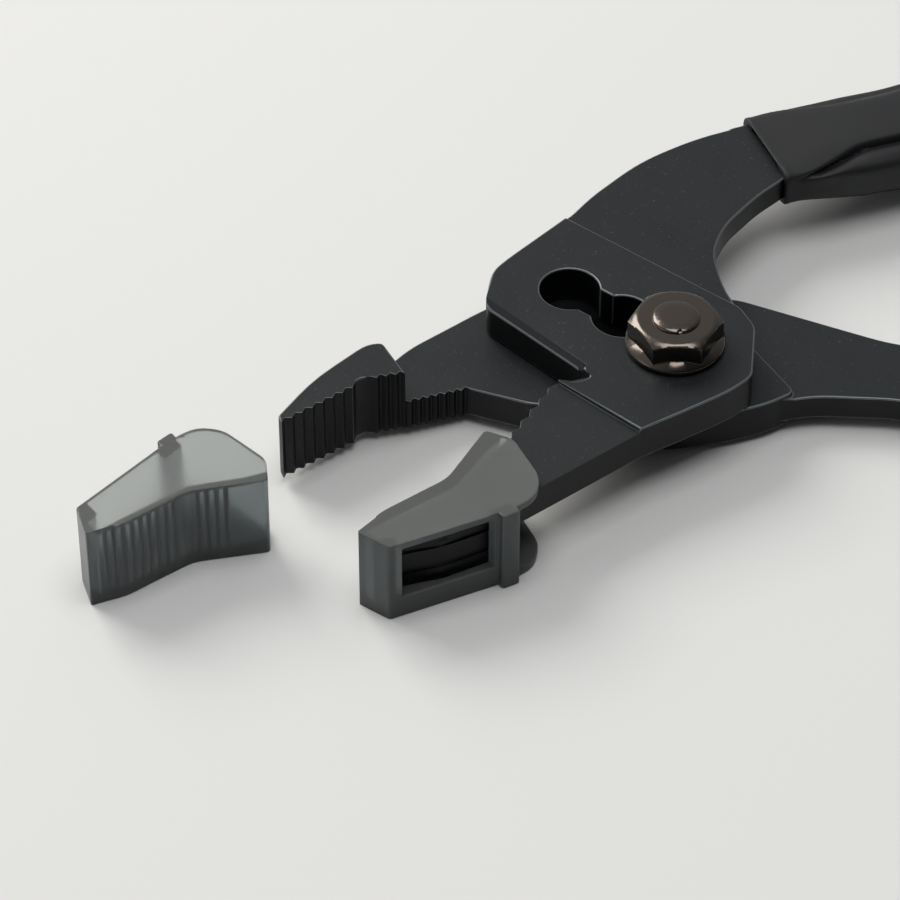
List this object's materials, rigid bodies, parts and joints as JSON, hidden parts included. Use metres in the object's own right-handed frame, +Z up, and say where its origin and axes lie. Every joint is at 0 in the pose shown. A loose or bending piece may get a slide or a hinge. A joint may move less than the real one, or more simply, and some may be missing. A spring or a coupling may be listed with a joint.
{
  "type": "slip-joint soft-jaw pliers",
  "caption": "Slip-joint pliers with a multi-position slot, sleeved handles and pull-off plastic jaw covers, one fitted and one beside its jaw.",
  "frame": {"origin": "on the pivot axis, at the flat underside of the bolt's head, in the plane that the tool lies on", "axes": "+X from the jaws towards the handles, +Y from the covered jaw towards the bare jaw, +Z up along the pivot towards the nut"},
  "size_m": [0.2381, 0.1188, 0.0203],
  "materials": {
    "black_steel": "satin black oxide",
    "black_nickel": "polished black nickel",
    "elastomer": "fine matte grain",
    "smoke_plastic": "translucent smoke grey, frosted"
  },
  "bodies": {
    "upper_lever_body": {"upper_lever": "black_steel", "upper_grip": "elastomer"},
    "washer_body": {"thrust_washer": "black_nickel"},
    "lower_lever_body": {"lower_lever": "black_steel", "pivot_bolt": "black_nickel", "flange_nut": "black_nickel", "lower_grip": "elastomer"},
    "fitted_cover_body": {"fitted_jaw_cover": "smoke_plastic"},
    "loose_cover_body": {"loose_jaw_cover": "smoke_plastic"}
  },
  "joints": [
    {"name": "slot_adjust", "type": "slide", "parent": "upper_lever_body", "child": "washer_body", "axis": [-0.2721, 0.9623, 0], "range_m": [0, 0.0206]},
    {"name": "handle_hinge", "type": "hinge", "parent": "washer_body", "child": "lower_lever_body", "pos_m": [0, 0, 0], "axis": [0, 0, 1], "range_deg": [-15, 22.5]},
    {"name": "fitted_cover_pull", "type": "slide", "parent": "upper_lever_body", "child": "fitted_cover_body", "axis": [-1, 0, 0], "range_m": [0, 0.075]},
    {"name": "loose_cover_push", "type": "slide", "parent": "lower_lever_body", "child": "loose_cover_body", "axis": [0.9948, 0.1022, 0], "range_m": [0, 0.03619]}
  ]
}
